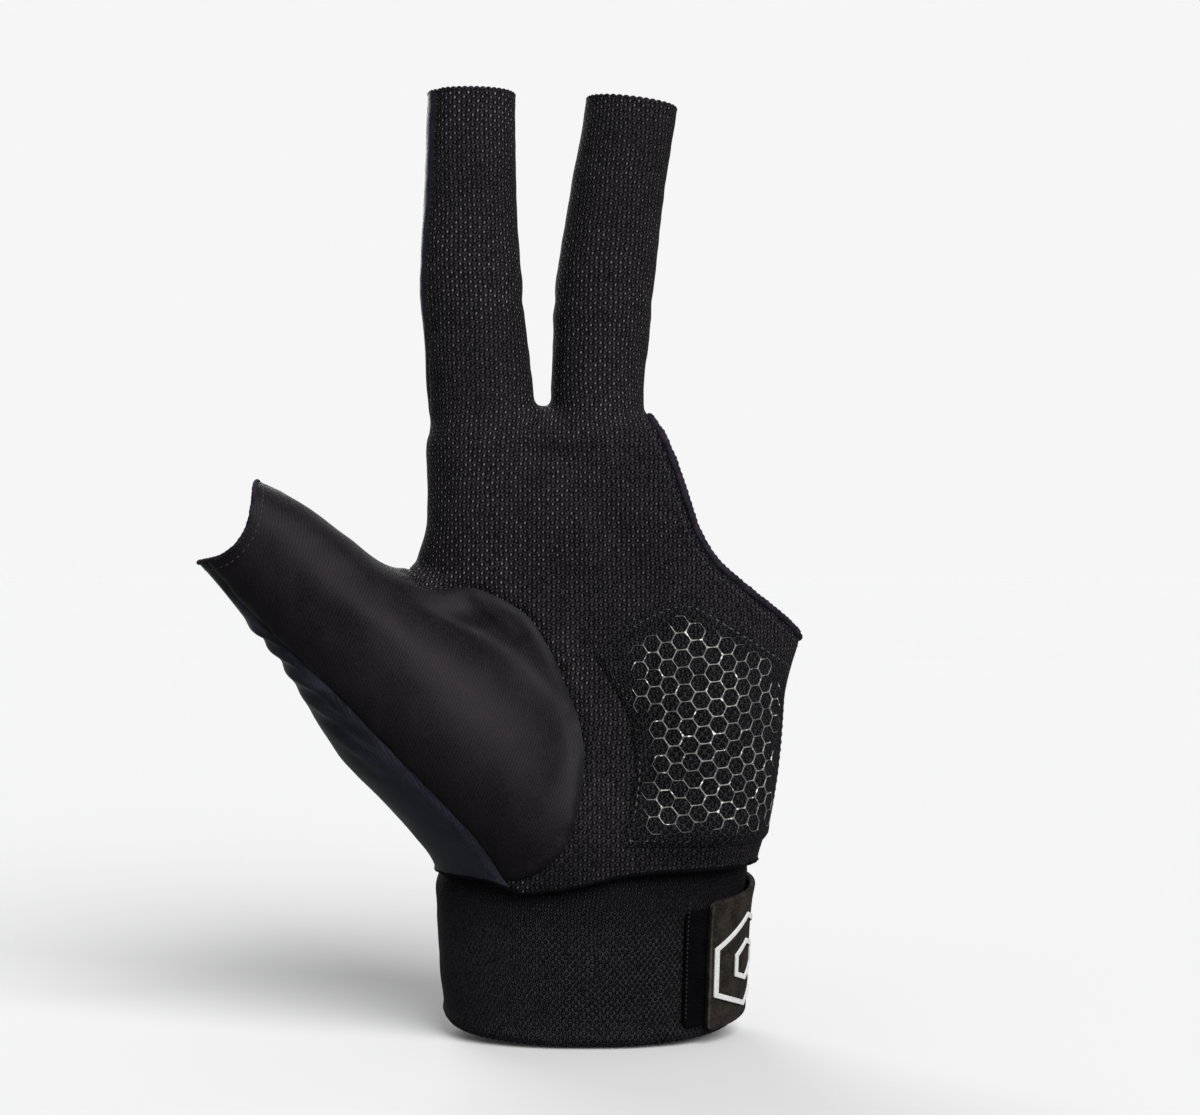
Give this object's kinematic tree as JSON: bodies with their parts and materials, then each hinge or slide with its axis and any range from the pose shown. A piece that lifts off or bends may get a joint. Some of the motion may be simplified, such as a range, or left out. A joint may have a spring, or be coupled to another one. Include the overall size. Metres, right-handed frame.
{
  "type": "billiard glove",
  "caption": "Worn three-finger billiard glove for a left hand, with open fingertips, a cut-away palm side, a gripping honeycomb patch and a wrapped wrist tab.",
  "frame": {"origin": "middle of the wrist's crease, at the depth of the middle of the fingers", "axes": "+Z along the hand to the fingertips, -Y out of the palm, -X to the side of the thumb"},
  "size_m": [0.1305, 0.0547, 0.2062],
  "materials": {
    "palm_mesh": "black honeycomb mesh knit",
    "thumb_satin": "black satin stretch with fine ribs",
    "back_stretch": "smooth blue-grey stretch",
    "grip_print": "silvery translucent silicone print",
    "cuff_knit": "fine near-black knit",
    "loop_pile": "black brushed loop pile",
    "tab_suede": "brown-grey microsuede",
    "emblem_print": "white raised print"
  },
  "bodies": {
    "root": {"palm_panel": "palm_mesh", "thumb_panel": "thumb_satin", "back_panel": "back_stretch", "grip_patch": "palm_mesh", "grip_hexagons": "grip_print", "wrist_cuff": "cuff_knit", "loop_strip": "loop_pile", "closure_tab": "tab_suede", "tab_emblem": "emblem_print", "tab_emblem_core": "emblem_print"}
  },
  "joints": []
}
